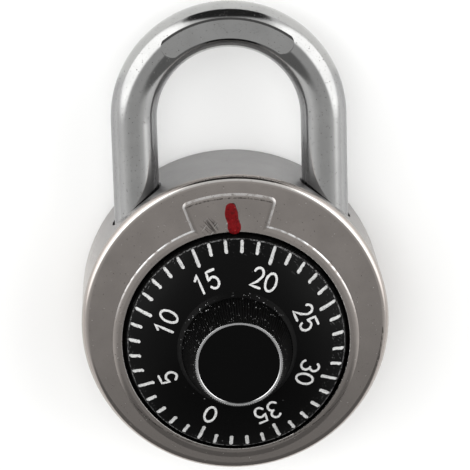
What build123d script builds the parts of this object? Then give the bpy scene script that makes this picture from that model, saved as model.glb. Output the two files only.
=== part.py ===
# Combination padlock with a round drum and a turning dial, all lengths in millimetres.
# It lies on its back: +Z points out of the dial, +Y from the drum towards the shackle's bow,
# and +X to the right as the dial is read. The origin is on the drum's axis at the back face.

from build123d import *
import math
import os

os.makedirs("parts", exist_ok=True)

# Wheel pack: two free wheels on a post, a drive cam on the dial's spindle
wheel_diameter = 20.8
wheel_thickness = 1.3
wheel_chamfer = 0.16
cam_thickness = 1.8
gate_width = 2.6
gate_depth = 2.2
rear_gate_angle = 205.0
middle_gate_angle = 318.0
cam_gate_angle = 30.0
cam_notches = 12
notch_width = 1.9
notch_depth = 0.5
tab_depth = 1.4
tab_width = 1.2
tab_angle = 150.0
tab_play = 0.1
tab_clear = 0.4
spindle_diameter = 4.8
spindle_bite = 3.0
spindle_chamfer = 0.4
post_diameter = 5.8
post_stand = 0.3
post_chamfer = 0.36
spacer_wall = 2.9
spacer_tab_gap = 1.0
spacer_thickness = 1.1
washer_thickness = 0.5
spring_space = 1.1
collar_wall = 0.9
collar_thickness = 0.6
collar_play = 0.2
face_play = 0.1
running_clearance = 0.05
press_clearance = 0.02

# Shackle
rod_diameter = 7.14
wheel_leg_gap = 0.73
leg_cover = 0.43
clear_height = 18.93
panel_half_angle = 35.0
panel_width = 3.3
panel_overlap = 0.1
shackle_lift = 12.5
heel_foot = 2.3
heel_neck_wall = 0.97
heel_liner_gap = 0.712
toe_tail = 3.4
toe_chamfer = 1.2
heel_chamfer = 0.4
hole_clearance = 0.35

# Drum
shell_wall = 0.9
front_edge_radius = 1.1
rear_edge_radius = 0.7
rim_turn_in = 2.6
rim_clearance = 0.3
back_stand = 0.2
back_thickness = 1.0
back_edge_radius = 0.4
liner_wall = 0.75
liner_leg_gap = 4.03
liner_top_gap = 0.3
plate_thickness = 1.0
plate_clearance = 0.1
lever_cover = 2.3

# Front face: a low raised bezel round the dial with the index window on it, and the dial's well
dial_drop = 2.7
face_foot_width = 2.05
bezel_rise = 0.2
bezel_shoulder = 0.85
band_width = 1.5
well_depth = 1.4
well_edge_radius = 0.12
window_margin = 2.7
window_half_angle = 18.2
window_turn = 1.3
window_corner_radius = 0.9
mark_width = 2.1
mark_margin = 1.57
mark_tail = 2.1
mark_sink = 0.25
mark_stand = 0.12

# Dial and knob
dial_clearance = 0.35
dial_edge_slope = 0.45
dial_gap = 0.3
dial_rim_height = 0.85
dial_bevel_height = 1.3
dome_rise = 2.75
dome_middle_rise = 1.74
divisions = 40
reading_at_rest = 17.5
tick_width = 0.5
tick_sink = 0.2
tick_edge_margin = 0.15
long_tick = 2.75
short_tick = 1.85
numbered_every = 5
cutter_height = 0.8
knob_base_diameter = 18.6
skirt_slope = 0.65
skirt_height = 0.9
knob_taper = 1.7
knob_height = 7.5
knob_edge_bevel = 0.3
knurl_count = 120
knurl_sink = 0.2
knurl_start = 0.3
ring_inset = 0.24
ring_width = 0.46
ring_height = 0.6
ring_bevel = 0.09
cap_recess = 0.16

# Fence lever and latch
lever_thickness = 1.2
lever_gap = 0.4
lever_width = 2.4
lever_hub_diameter = 3.8
lever_hub_gap = 1.41
lever_post_angle = 140.6
lever_post_diameter = 2.2
lever_post_head = 3.0
fence_angle = 83.0
fence_stand = 0.9
fence_width = 1.8
fence_height = 2.2
fence_overlap = 0.2
elbow_inset = 1.3
elbow_drop = 7.0
latch_thickness = 2.1
latch_gap = 0.3
latch_boss_diameter = 3.6
latch_boss_gap = 1.04
latch_pin_diameter = 1.8
latch_pin_head = 3.0
latch_pin_head_height = 0.4
latch_pin_inset = 3.5
latch_pin_rise = 4.9
latch_bite = 1.1
latch_release_angle = 20.0
nose_top = 1.4
nose_root_drop = 1.1
nose_root_reach = 2.6
nose_shoulder_rise = 1.8
nose_shoulder_reach = 2.0
arm_side = 1.62
arm_lean = 0.72
notch_below = 1.7
notch_above = 1.95
notch_slope = 0.95
notch_extra = 0.4

# Guides, pins and springs
guide_clearance = 0.08
guide_liner_gap = 0.1
guide_length = 6.4
heel_guide_gap = 1.3
toe_guide_gap = 0.2
guide_wall = 0.75
guide_open = 2.2
stop_pin_diameter = 1.5
stop_pin_play = 0.25
stop_pin_chamfer = 0.2
rivet_diameter = 2.0
rivet_head_diameter = 3.6
rivet_head_height = 0.7
rivet_head_edge = 0.4
rivet_edge_distance = 3.4
bush_wall = 1.45
bush_flange = 1.3
bush_flange_thickness = 0.8
bush_stand = 0.2
bush_tail = 0.6
wheel_spring_wire = 0.58
wheel_spring_gap = 0.3
wheel_spring_turns = 1.75
wheel_spring_spacing = 0.84
torsion_wire = 0.4
torsion_pitch = 0.46
torsion_turns = 4.0
torsion_leg = 3.2
torsion_gap = 0.25
spring_play = 0.35

# Levels, from the back face up through the wheel pack and the lever to the dial
wheel_radius = wheel_diameter / 2
post_radius = post_diameter / 2
spindle_radius = spindle_diameter / 2
rod_radius = rod_diameter / 2
neck_radius = rod_radius - heel_neck_wall

rim_inner_z = back_stand + shell_wall
liner_base = rim_inner_z + back_thickness
plate_z = back_thickness
plate_top = plate_z + plate_thickness
guide_base = max(plate_top, liner_base)
rear_washer_z = plate_top + spring_space
rear_wheel_z = rear_washer_z + washer_thickness + face_play
spacer_z = rear_wheel_z + wheel_thickness + face_play
middle_wheel_z = spacer_z + spacer_thickness + face_play
front_washer_z = middle_wheel_z + wheel_thickness + face_play
post_top = front_washer_z + washer_thickness + post_stand
collar_z = post_top + collar_play
cam_z = collar_z + collar_thickness
cam_top = cam_z + cam_thickness
lever_z = cam_top + lever_gap
lever_top = lever_z + lever_thickness
latch_z = lever_z - latch_gap - latch_thickness
torsion_height = 1.5 * torsion_wire + torsion_turns * torsion_pitch
latch_pin_foot = latch_z - torsion_height - spring_play - latch_pin_head_height
tab_length = spacer_thickness + 2 * face_play - tab_clear
drive_pin_length = cam_z - middle_wheel_z - wheel_thickness - tab_clear

well_under = lever_top + lever_cover
well_z = well_under + shell_wall
face_z = well_z + well_depth
bezel_z = face_z + bezel_rise
shoulder_radius = (bezel_shoulder ** 2 + bezel_rise ** 2) / (2 * bezel_rise)
leg_height = well_under - leg_cover - rod_radius
dial_back = well_z + dial_gap
dial_rim_z = dial_back + dial_rim_height
dial_edge_z = dial_rim_z + dial_bevel_height
knob_base_z = dial_edge_z + dome_rise
knob_top_z = knob_base_z + knob_height
spindle_top = knob_base_z + spindle_bite

# Radii and places, from the wheels out to the legs, the liner and the drum
leg_x = wheel_radius + wheel_leg_gap + rod_radius
liner_bore = leg_x + rod_radius + liner_leg_gap
liner_radius = liner_bore + liner_wall
drum_radius = liner_radius + running_clearance + shell_wall
rim_radius = drum_radius - rim_turn_in
back_centre_radius = rim_radius - rim_clearance
plate_radius = back_centre_radius - back_thickness - plate_clearance
rivet_circle = plate_radius - rivet_edge_distance
bow_centre = drum_radius + clear_height - leg_x + rod_radius
panel_z = leg_height + math.sqrt(rod_radius ** 2 - (panel_width / 2) ** 2)

bezel_radius = drum_radius - dial_drop - face_foot_width
well_radius = bezel_radius - band_width
shoulder_grow = shoulder_radius - bezel_shoulder
dial_radius = well_radius - dial_clearance
dial_face_radius = dial_radius - dial_edge_slope
knob_base_radius = knob_base_diameter / 2
knob_foot_radius = knob_base_radius - skirt_slope
knob_top_radius = knob_foot_radius - knob_taper
ring_radius = knob_top_radius - ring_inset
window_radius = drum_radius - window_margin
mark_top = window_radius - mark_margin

spacer_radius = post_radius + spacer_wall
tab_radius = spacer_radius + spacer_tab_gap + tab_depth / 2
tab_step = math.degrees((tab_width + tab_play) / (tab_radius - tab_depth / 2))
bush_radius = spindle_radius + running_clearance + bush_wall

toe_face = rod_radius - leg_x
latch_x = toe_face + latch_pin_inset
latch_y = math.sqrt((liner_bore - latch_boss_gap - latch_boss_diameter / 2) ** 2 - latch_x ** 2)
notch_base = latch_y - latch_pin_rise
notch_reach = latch_bite + notch_extra
toe_end = notch_base - toe_tail
toe_guide_start = toe_end + toe_guide_gap
heel_end = math.sqrt((liner_bore - heel_liner_gap) ** 2 - (leg_x + rod_radius) ** 2)
stop_pin_x = leg_x + neck_radius + (stop_pin_diameter + stop_pin_play) / 2
stop_pin_y = heel_foot - heel_end + shackle_lift + stop_pin_play + stop_pin_diameter / 2
neck_top = stop_pin_y + stop_pin_diameter / 2 + stop_pin_play
heel_guide_start = neck_top + heel_guide_gap

lever_post_reach = wheel_radius + lever_hub_diameter / 2 + lever_hub_gap
lever_post_x = lever_post_reach * math.cos(math.radians(lever_post_angle))
lever_post_y = lever_post_reach * math.sin(math.radians(lever_post_angle)) - dial_drop
fence_radius = wheel_radius + fence_stand + fence_height / 2
fence_x = fence_radius * math.cos(math.radians(fence_angle))
fence_y = fence_radius * math.sin(math.radians(fence_angle)) - dial_drop
elbow = (latch_x - elbow_inset, latch_y - elbow_drop)

# Planes and axes that the pieces share
dial_axis = Axis((0, -dial_drop, 0), (0, 0, 1))
drum_section = Plane(origin=(0, 0, 0), x_dir=(1, 0, 0), z_dir=(0, -1, 0))
dial_section = Plane(origin=(0, -dial_drop, 0), x_dir=(1, 0, 0), z_dir=(0, -1, 0))


def dial_plane(height):
    """A level plane centred on the dial's axis."""
    return Plane(origin=(0, -dial_drop, height))


def leg_plane(x, y):
    """A plane across a leg, with its normal along the leg towards the bow."""
    return Plane(origin=(x, y, leg_height), x_dir=(1, 0, 0), z_dir=(0, 1, 0))


def save(piece, label):
    """Name a finished piece and write it."""
    piece.part.label = label
    export_step(piece.part, f"parts/{label}.step")


def bar(start, end, width):
    """A round-ended bar between two points of a sketch."""
    length = math.dist(start, end)
    angle = math.degrees(math.atan2(end[1] - start[1], end[0] - start[0]))
    with Locations(((start[0] + end[0]) / 2, (start[1] + end[1]) / 2)):
        return SlotCenterToCenter(length, width, rotation=angle)


# Front shell: a drawn cup with a stamped face and its rear rim rolled in
def window_outline(grow):
    """The index window's outline, larger by grow all round: a sector about the dial's axis, under an arc."""
    slope = math.tan(math.radians(window_half_angle))
    apex = -grow / math.sin(math.radians(window_half_angle))
    low = well_radius / 2
    high = drum_radius + dial_drop
    reach = window_radius + grow
    with BuildSketch(Plane.XY) as outline:
        with Locations(Location((0, -dial_drop, 0), (0, 0, window_turn))):
            Polygon(
                (-slope * (low - apex), low),
                (slope * (low - apex), low),
                (slope * (high - apex), high),
                (-slope * (high - apex), high),
                align=None,
            )
        Circle(reach, mode=Mode.INTERSECT)
        outer_corners = outline.vertices().filter_by(lambda v: math.hypot(v.X, v.Y) > reach - 0.01)
        fillet(outer_corners, window_corner_radius + grow)
    return outline.sketch


def mark_outline(past_edge):
    """The index slot's outline, from its round top to the well's edge, or past it by a negative value."""
    low = well_radius - dial_drop - mark_tail
    with BuildSketch(Plane.XY) as outline:
        with Locations((0, mark_top - mark_width / 2)):
            Circle(mark_width / 2)
        with Locations((0, (mark_top - mark_width / 2 + low) / 2)):
            Rectangle(mark_width, mark_top - mark_width / 2 - low)
        with Locations((0, -dial_drop)):
            Circle(well_radius + past_edge, mode=Mode.SUBTRACT)
    return outline.sketch


def bezel_outline(grow):
    """The outline of the bezel's foot round the dial, larger by grow."""
    with BuildSketch(Plane.XY) as outline:
        with Locations((0, -dial_drop)):
            Circle(bezel_radius + grow)
    return outline.sketch


def raised_pad(outline):
    """A pad that stands on the face with a gently rounded shoulder; its outline comes grown by shoulder_grow."""
    with BuildPart(mode=Mode.PRIVATE) as pad:
        with BuildSketch(Plane.XY.offset(bezel_z - 2 * shoulder_radius)):
            add(outline)
        extrude(amount=2 * shoulder_radius)
        fillet(pad.edges().group_by(Axis.Z)[-1], shoulder_radius)
        split(bisect_by=Plane.XY.offset(face_z - shell_wall / 2), keep=Keep.TOP)
    return pad.part


with BuildPart() as front_shell:
    with BuildSketch(drum_section):
        with BuildLine():
            Line((0, face_z), (drum_radius - front_edge_radius, face_z))
            RadiusArc(
                (drum_radius - front_edge_radius, face_z),
                (drum_radius, face_z - front_edge_radius),
                front_edge_radius,
            )
            Line((drum_radius, face_z - front_edge_radius), (drum_radius, back_stand + rear_edge_radius))
            RadiusArc(
                (drum_radius, back_stand + rear_edge_radius),
                (drum_radius - rear_edge_radius, back_stand),
                rear_edge_radius,
            )
            Polyline(
                (drum_radius - rear_edge_radius, back_stand),
                (rim_radius, back_stand),
                (rim_radius, rim_inner_z),
                (drum_radius - shell_wall, rim_inner_z),
                (drum_radius - shell_wall, face_z - shell_wall),
                (0, face_z - shell_wall),
                (0, face_z),
            )
        make_face()
    revolve(axis=Axis.Z)
    with BuildSketch(dial_plane(well_under)):
        Circle(well_radius + shell_wall)
    extrude(amount=face_z - well_under)
    add([raised_pad(bezel_outline(shoulder_grow)), raised_pad(window_outline(shoulder_grow))])
    with BuildSketch(dial_plane(well_z)):
        Circle(well_radius)
    extrude(amount=2 * well_depth, mode=Mode.SUBTRACT)
    well_edge = (
        front_shell.edges()
        .filter_by(GeomType.CIRCLE)
        .filter_by(lambda e: abs(e.radius - well_radius) < 0.01 and abs(e.center().Z - bezel_z) < 0.01)
    )
    fillet(well_edge, well_edge_radius)
    with BuildSketch(Plane.XY.offset(bezel_z - mark_sink)):
        add(mark_outline(-mark_tail / 2))
    extrude(amount=2 * mark_sink, mode=Mode.SUBTRACT)
    with BuildSketch(dial_plane(well_under)):
        Circle(bush_radius + press_clearance)
    extrude(amount=shell_wall, mode=Mode.SUBTRACT)
    for side in (-1, 1):
        with BuildSketch(leg_plane(side * leg_x, 0)):
            Circle(rod_radius + hole_clearance)
        extrude(amount=drum_radius, mode=Mode.SUBTRACT)
save(front_shell, "front_shell")

# Red enamel in the stamped index slot
with BuildPart() as index_mark:
    with BuildSketch(Plane.XY.offset(bezel_z - mark_sink)):
        add(mark_outline(0))
    extrude(amount=mark_sink + mark_stand)
save(index_mark, "index_mark")

# Steel liner inside the shell's side wall, pierced for the two legs
with BuildPart() as inner_case:
    with BuildSketch(Plane.XY.offset(liner_base)):
        Circle(liner_radius)
        Circle(liner_bore, mode=Mode.SUBTRACT)
    extrude(amount=face_z - shell_wall - liner_top_gap - liner_base)
    for side in (-1, 1):
        with BuildSketch(leg_plane(side * leg_x, 0)):
            Circle(rod_radius + hole_clearance)
        extrude(amount=drum_radius, mode=Mode.SUBTRACT)
save(inner_case, "inner_case")

# Back plate: its middle is pressed out flush with the back, its flange lies under the rolled rim
with BuildPart() as back_plate:
    with BuildSketch(drum_section):
        with BuildLine():
            Polyline(
                (0, 0),
                (back_centre_radius, 0),
                (back_centre_radius, rim_inner_z),
                (liner_radius, rim_inner_z),
                (liner_radius, liner_base),
                (back_centre_radius - back_thickness, liner_base),
                (back_centre_radius - back_thickness, back_thickness),
                (0, back_thickness),
                close=True,
            )
        make_face()
    revolve(axis=Axis.Z)
    back_edge = back_plate.edges().group_by(Axis.Z)[0]
    fillet(back_edge, back_edge_radius)
save(back_plate, "back_plate")

# Mechanism plate, riveted to the back plate, with the holes for its posts and pins
with BuildPart() as mechanism_plate:
    with BuildSketch(Plane.XY.offset(plate_z)):
        Circle(plate_radius)
        with Locations((0, -dial_drop)):
            Circle(post_radius + press_clearance, mode=Mode.SUBTRACT)
        with Locations((lever_post_x, lever_post_y)):
            Circle(lever_post_diameter / 2 + press_clearance, mode=Mode.SUBTRACT)
        with Locations((stop_pin_x, stop_pin_y)):
            Circle(stop_pin_diameter / 2 + press_clearance, mode=Mode.SUBTRACT)
        with PolarLocations(rivet_circle, 4):
            Circle(rivet_diameter / 2 + press_clearance, mode=Mode.SUBTRACT)
    extrude(amount=plate_thickness)
save(mechanism_plate, "mechanism_plate")

with BuildPart() as plate_rivets:
    with BuildSketch(Plane.XY.offset(plate_z)):
        with PolarLocations(rivet_circle, 4):
            Circle(rivet_diameter / 2)
    extrude(amount=plate_thickness)
    with BuildSketch(Plane.XY.offset(plate_top)):
        with PolarLocations(rivet_circle, 4):
            Circle(rivet_head_diameter / 2)
    extrude(amount=rivet_head_height)
    fillet(plate_rivets.edges().group_by(Axis.Z)[-1], rivet_head_edge)
save(plate_rivets, "plate_rivets")

# Flanged bush in the shell's well floor, for the dial's spindle
with BuildPart() as spindle_bushing:
    with BuildSketch(dial_plane(well_under - bush_flange_thickness - bush_tail)):
        Circle(bush_radius)
    extrude(amount=well_z + bush_stand - well_under + bush_flange_thickness + bush_tail)
    with BuildSketch(dial_plane(well_under - bush_flange_thickness)):
        Circle(bush_radius + bush_flange)
    extrude(amount=bush_flange_thickness)
    with BuildSketch(dial_plane(well_under - bush_flange_thickness - bush_tail)):
        Circle(spindle_radius + running_clearance)
    extrude(amount=face_z, mode=Mode.SUBTRACT)
save(spindle_bushing, "spindle_bushing")

# Shackle: one bent rod with a long heel leg, a notched toe leg and a flat pressed on its bow
with BuildPart() as shackle:
    with BuildSketch(leg_plane(leg_x, -heel_end)):
        Circle(rod_radius)
    extrude(amount=heel_end + bow_centre)
    with BuildSketch(leg_plane(-leg_x, toe_end)):
        Circle(rod_radius)
    extrude(amount=bow_centre - toe_end)
    with BuildSketch(leg_plane(leg_x, bow_centre)):
        Circle(rod_radius)
    revolve(axis=Axis((0, bow_centre, 0), (0, 0, 1)), revolution_arc=180)
    toe_edge = shackle.edges().filter_by(lambda e: abs(e.center().Y - toe_end) < 0.01)
    chamfer(toe_edge, toe_chamfer)
    foot_edge = shackle.edges().group_by(Axis.Y)[0]
    chamfer(foot_edge, heel_chamfer)
    with BuildSketch(leg_plane(leg_x, heel_foot - heel_end)):
        Circle(rod_radius + hole_clearance)
        Circle(neck_radius, mode=Mode.SUBTRACT)
    extrude(amount=neck_top - heel_foot + heel_end, mode=Mode.SUBTRACT)
    notch_rise = notch_slope * (notch_reach + notch_extra)
    with BuildSketch(Plane.XY.offset(leg_height - rod_radius)):
        with BuildLine():
            Polyline(
                (toe_face + notch_extra, notch_base - notch_below),
                (toe_face - notch_reach, notch_base - notch_below + notch_rise),
                (toe_face - notch_reach, notch_base + notch_above),
                (toe_face + notch_extra, notch_base + notch_above),
                close=True,
            )
        make_face()
    extrude(amount=rod_diameter, mode=Mode.SUBTRACT)
    with BuildSketch(Plane.XY.offset(panel_z)):
        with BuildLine(mode=Mode.PRIVATE) as panel_arc:
            CenterArc((0, bow_centre), leg_x, 90 - panel_half_angle, 2 * panel_half_angle)
        SlotArc(panel_arc.edges()[0], panel_width + 2 * panel_overlap)
    extrude(amount=rod_radius, mode=Mode.SUBTRACT)
save(shackle, "shackle")

# Guide that the heel leg slides in, open towards the front
with BuildPart() as heel_guide:
    with BuildSketch(Plane.XY.offset(guide_base)):
        with Locations((leg_x - rod_radius - guide_wall, heel_guide_start)):
            Rectangle(drum_radius, guide_length, align=(Align.MIN, Align.MIN))
        Circle(liner_bore - guide_liner_gap, mode=Mode.INTERSECT)
    extrude(amount=leg_height + guide_open - guide_base)
    with BuildSketch(leg_plane(leg_x, 0)):
        Circle(rod_radius + guide_clearance)
    extrude(amount=drum_radius, mode=Mode.SUBTRACT)
save(heel_guide, "heel_guide")

# Guide behind the toe leg, open on the latch's side
with BuildPart() as toe_guide:
    with BuildSketch(Plane.XY.offset(guide_base)):
        with Locations((guide_wall - leg_x, toe_guide_start)):
            Rectangle(drum_radius, guide_length, align=(Align.MAX, Align.MIN))
        Circle(liner_bore - guide_liner_gap, mode=Mode.INTERSECT)
    extrude(amount=leg_height + guide_open - guide_base)
    with BuildSketch(leg_plane(-leg_x, 0)):
        Circle(rod_radius + guide_clearance)
    extrude(amount=drum_radius, mode=Mode.SUBTRACT)
save(toe_guide, "toe_guide")

# Pin in the heel leg's long neck, which stops the shackle at full lift
with BuildPart() as stop_pin:
    with BuildSketch(Plane((stop_pin_x, stop_pin_y, plate_z))):
        Circle(stop_pin_diameter / 2)
    extrude(amount=leg_height + rod_radius - plate_z)
    chamfer(stop_pin.edges().group_by(Axis.Z)[-1], stop_pin_chamfer)
save(stop_pin, "stop_pin")

# Dial and knob, one moulding: a domed disc with engraved divisions and a knurled, tapering knob
knob_foot = (knob_foot_radius, knob_base_z + skirt_height)
knob_shoulder = (knob_top_radius, knob_top_z - knob_edge_bevel)
dome_middle = ((dial_face_radius + knob_base_radius) / 2, dial_edge_z + dome_middle_rise)


def dome_height(radius):
    """Height of the dial's domed face at a radius, on the arc through its three points."""
    with BuildLine(mode=Mode.PRIVATE) as dome:
        ThreePointArc((dial_face_radius, dial_edge_z), dome_middle, (knob_base_radius, knob_base_z))
    centre = dome.edges()[0].arc_center
    return centre.Y + math.sqrt(dome.edges()[0].radius ** 2 - (radius - centre.X) ** 2)


def tick_cutter(length):
    """A round-ended bar lying in the dial's face from its edge inwards, centred on +X."""
    outer = dial_face_radius - tick_edge_margin
    inner = outer - length
    outer_z = dome_height(outer)
    inner_z = dome_height(inner)
    slope = Vector(inner - outer, 0, inner_z - outer_z).normalized()
    face = Plane(
        origin=((outer + inner) / 2, -dial_drop, (outer_z + inner_z) / 2 - tick_sink),
        x_dir=slope,
        z_dir=Vector(0, 1, 0).cross(slope),
    )
    with BuildPart(mode=Mode.PRIVATE) as cutter:
        with BuildSketch(face):
            SlotOverall(math.dist((outer, outer_z), (inner, inner_z)), tick_width)
        extrude(amount=cutter_height * (1 if face.z_dir.Z > 0 else -1))
    return cutter.part


def knurl_cutter():
    """A V-shaped bar along the knob's tapering side at +X, from just above its foot out past its top."""
    side = Vector(knob_shoulder[0] - knob_foot[0], 0, knob_shoulder[1] - knob_foot[1])
    outward = Vector(side.Z, 0, -side.X).normalized()
    start = Vector(knob_foot[0], -dial_drop, knob_foot[1]) + side.normalized() * knurl_start
    mouth = 2 * math.pi * knob_foot_radius / knurl_count
    with BuildPart(mode=Mode.PRIVATE) as cutter:
        with BuildSketch(Plane(origin=start, x_dir=outward, z_dir=side)):
            with BuildLine():
                Polyline((knurl_sink, -mouth), (knurl_sink, mouth), (-knurl_sink, 0), close=True)
            make_face()
        extrude(amount=side.length)
    return cutter.part


with BuildPart() as dial:
    with BuildSketch(dial_section):
        with BuildLine():
            Polyline(
                (0, dial_back),
                (dial_radius, dial_back),
                (dial_radius, dial_rim_z),
                (dial_face_radius, dial_edge_z),
            )
            ThreePointArc((dial_face_radius, dial_edge_z), dome_middle, (knob_base_radius, knob_base_z))
            Polyline(
                (knob_base_radius, knob_base_z),
                knob_foot,
                knob_shoulder,
                (ring_radius + press_clearance, knob_top_z),
                (ring_radius + press_clearance, knob_top_z - ring_height),
                (0, knob_top_z - ring_height),
                (0, dial_back),
            )
        make_face()
    revolve(axis=dial_axis)
    knurl = knurl_cutter()
    long_cutter = tick_cutter(long_tick)
    short_cutter = tick_cutter(short_tick)
    step_angle = 360 / divisions
    index_angle = 90
    ticks = []
    for number in range(divisions):
        turn = index_angle + (reading_at_rest - number) * step_angle
        tick = short_cutter if number % numbered_every else long_cutter
        ticks.append(tick.rotate(dial_axis, turn))
    add(ticks, mode=Mode.SUBTRACT)
    grooves = [knurl.rotate(dial_axis, tooth * 360 / knurl_count) for tooth in range(knurl_count)]
    add(grooves, mode=Mode.SUBTRACT)
    with BuildSketch(dial_plane(dial_back)):
        Circle(spindle_radius + press_clearance)
    extrude(amount=spindle_top - dial_back, mode=Mode.SUBTRACT)
save(dial, "dial")

# Bright ring and plain inlay in the knob's top
with BuildPart() as knob_ring:
    with BuildSketch(dial_plane(knob_top_z - ring_height)):
        Circle(ring_radius)
        Circle(ring_radius - ring_width, mode=Mode.SUBTRACT)
    extrude(amount=ring_height)
    chamfer(knob_ring.edges().group_by(Axis.Z)[-1], ring_bevel)
save(knob_ring, "knob_ring")

with BuildPart() as knob_cap:
    with BuildSketch(dial_plane(knob_top_z - ring_height)):
        Circle(ring_radius - ring_width - press_clearance)
    extrude(amount=ring_height - cap_recess)
save(knob_cap, "knob_cap")

# Spindle from the knob down to the drive cam
with BuildPart() as dial_spindle:
    with BuildSketch(dial_plane(collar_z)):
        Circle(spindle_radius)
    extrude(amount=spindle_top - collar_z)
    chamfer(dial_spindle.edges().group_by(Axis.Z)[-1], spindle_chamfer)
save(dial_spindle, "dial_spindle")

# Drive cam: shallow false notches, one true gate, and the pin that drives the wheels
with BuildPart() as drive_cam:
    with BuildSketch(dial_plane(cam_z)):
        Circle(wheel_radius)
        Circle(spindle_radius + press_clearance, mode=Mode.SUBTRACT)
        with PolarLocations(wheel_radius, cam_notches, start_angle=cam_gate_angle):
            Rectangle(2 * notch_depth, notch_width, mode=Mode.SUBTRACT)
        with PolarLocations(wheel_radius, 1, start_angle=cam_gate_angle):
            Rectangle(2 * gate_depth, gate_width, mode=Mode.SUBTRACT)
    extrude(amount=cam_thickness)
    with BuildSketch(dial_plane(cam_z - drive_pin_length)):
        with PolarLocations(tab_radius, 1, start_angle=tab_angle):
            Rectangle(tab_depth, tab_width)
    extrude(amount=drive_pin_length)
save(drive_cam, "drive_cam")

with BuildPart() as cam_collar:
    with BuildSketch(dial_plane(collar_z)):
        Circle(spindle_radius + collar_wall)
        Circle(spindle_radius + press_clearance, mode=Mode.SUBTRACT)
    extrude(amount=collar_thickness)
save(cam_collar, "cam_collar")


# The two free wheels, each with one gate and with tabs that pick up the next wheel
def build_wheel(base, gate_angle, front_tab, rear_tab):
    """One wheel of the pack, from its rear face up; a tab angle of None leaves that tab out."""
    with BuildPart() as wheel:
        with BuildSketch(dial_plane(base)):
            Circle(wheel_radius)
            Circle(post_radius + running_clearance, mode=Mode.SUBTRACT)
            with PolarLocations(wheel_radius, 1, start_angle=gate_angle):
                Rectangle(2 * gate_depth, gate_width, mode=Mode.SUBTRACT)
        extrude(amount=wheel_thickness)
        rim_edges = wheel.edges().filter_by(GeomType.CIRCLE).sort_by(SortBy.RADIUS)[-2:]
        chamfer(rim_edges, wheel_chamfer)
        if front_tab is not None:
            with BuildSketch(dial_plane(base + wheel_thickness)):
                with PolarLocations(tab_radius, 1, start_angle=front_tab):
                    Rectangle(tab_depth, tab_width)
            extrude(amount=tab_length)
        if rear_tab is not None:
            with BuildSketch(dial_plane(base - tab_length)):
                with PolarLocations(tab_radius, 1, start_angle=rear_tab):
                    Rectangle(tab_depth, tab_width)
            extrude(amount=tab_length)
    return wheel


middle_tab_angle = tab_angle + tab_step
rear_tab_angle = middle_tab_angle + tab_step
save(build_wheel(middle_wheel_z, middle_gate_angle, middle_tab_angle, middle_tab_angle), "wheel_middle")
save(build_wheel(rear_wheel_z, rear_gate_angle, rear_tab_angle, None), "wheel_rear")

# Post that carries the free wheels, with the washers that part them
with BuildPart() as wheel_post:
    with BuildSketch(dial_plane(plate_z)):
        Circle(post_radius)
    extrude(amount=post_top - plate_z)
    chamfer(wheel_post.edges().group_by(Axis.Z)[-1], post_chamfer)
save(wheel_post, "wheel_post")

for label, base, thickness in (
    ("spacer_rear", rear_washer_z, washer_thickness),
    ("spacer_middle", spacer_z, spacer_thickness),
    ("spacer_front", front_washer_z, washer_thickness),
):
    with BuildPart() as spacer:
        with BuildSketch(dial_plane(base)):
            Circle(spacer_radius)
            Circle(post_radius + running_clearance, mode=Mode.SUBTRACT)
        extrude(amount=thickness)
    save(spacer, label)

# Conical spring that presses the wheel pack together
spring_rise = spring_space - wheel_spring_wire
with BuildPart() as wheel_spring:
    with BuildLine():
        coil = Helix(
            pitch=spring_rise / wheel_spring_turns,
            height=spring_rise,
            radius=post_radius + wheel_spring_gap + wheel_spring_wire / 2,
            center=(0, -dial_drop, rear_washer_z - wheel_spring_wire / 2),
            direction=(0, 0, -1),
            cone_angle=math.degrees(math.atan2(wheel_spring_turns * wheel_spring_spacing, spring_rise)),
        )
    with BuildSketch(Plane(origin=coil @ 0, z_dir=coil % 0)):
        Circle(wheel_spring_wire / 2)
    sweep(is_frenet=True)
save(wheel_spring, "wheel_spring")

# Fence lever: a flat lever on its post, with the fence bar that reaches across all three rims
with BuildPart() as fence_lever:
    with BuildSketch(Plane.XY.offset(lever_z)):
        with Locations((lever_post_x, lever_post_y)):
            Circle(lever_hub_diameter / 2)
        bar((lever_post_x, lever_post_y), (fence_x, fence_y), lever_width)
        bar((lever_post_x, lever_post_y), elbow, lever_width)
        bar(elbow, (latch_x, latch_y), lever_width)
        with Locations((latch_x, latch_y)):
            Circle(latch_boss_diameter / 2)
    extrude(amount=lever_thickness)
    with BuildSketch(Plane((lever_post_x, lever_post_y, latch_z))):
        Circle(lever_hub_diameter / 2)
    extrude(amount=lever_z - latch_z)
    fence_plane = Plane(
        origin=(fence_x, fence_y, rear_wheel_z - fence_overlap),
        x_dir=(math.cos(math.radians(fence_angle)), math.sin(math.radians(fence_angle)), 0),
        z_dir=(0, 0, 1),
    )
    with BuildSketch(fence_plane):
        Rectangle(fence_height, fence_width)
    extrude(amount=lever_top - rear_wheel_z + fence_overlap)
    with BuildSketch(Plane((lever_post_x, lever_post_y, latch_z))):
        Circle(lever_post_diameter / 2 + running_clearance)
    extrude(amount=lever_top - latch_z, mode=Mode.SUBTRACT)
    with BuildSketch(Plane((latch_x, latch_y, lever_z))):
        Circle(latch_pin_diameter / 2 + press_clearance)
    extrude(amount=lever_thickness, mode=Mode.SUBTRACT)
save(fence_lever, "fence_lever")

with BuildPart() as lever_post:
    with BuildSketch(Plane((lever_post_x, lever_post_y, plate_z))):
        Circle(lever_post_diameter / 2)
    extrude(amount=lever_top + face_play + latch_pin_head_height - plate_z)
    with BuildSketch(Plane((lever_post_x, lever_post_y, plate_top))):
        Circle(lever_hub_diameter / 2)
    extrude(amount=rivet_head_height)
    with BuildSketch(Plane((lever_post_x, lever_post_y, lever_top + face_play))):
        Circle(lever_post_head / 2)
    extrude(amount=latch_pin_head_height)
save(lever_post, "lever_post")

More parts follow.
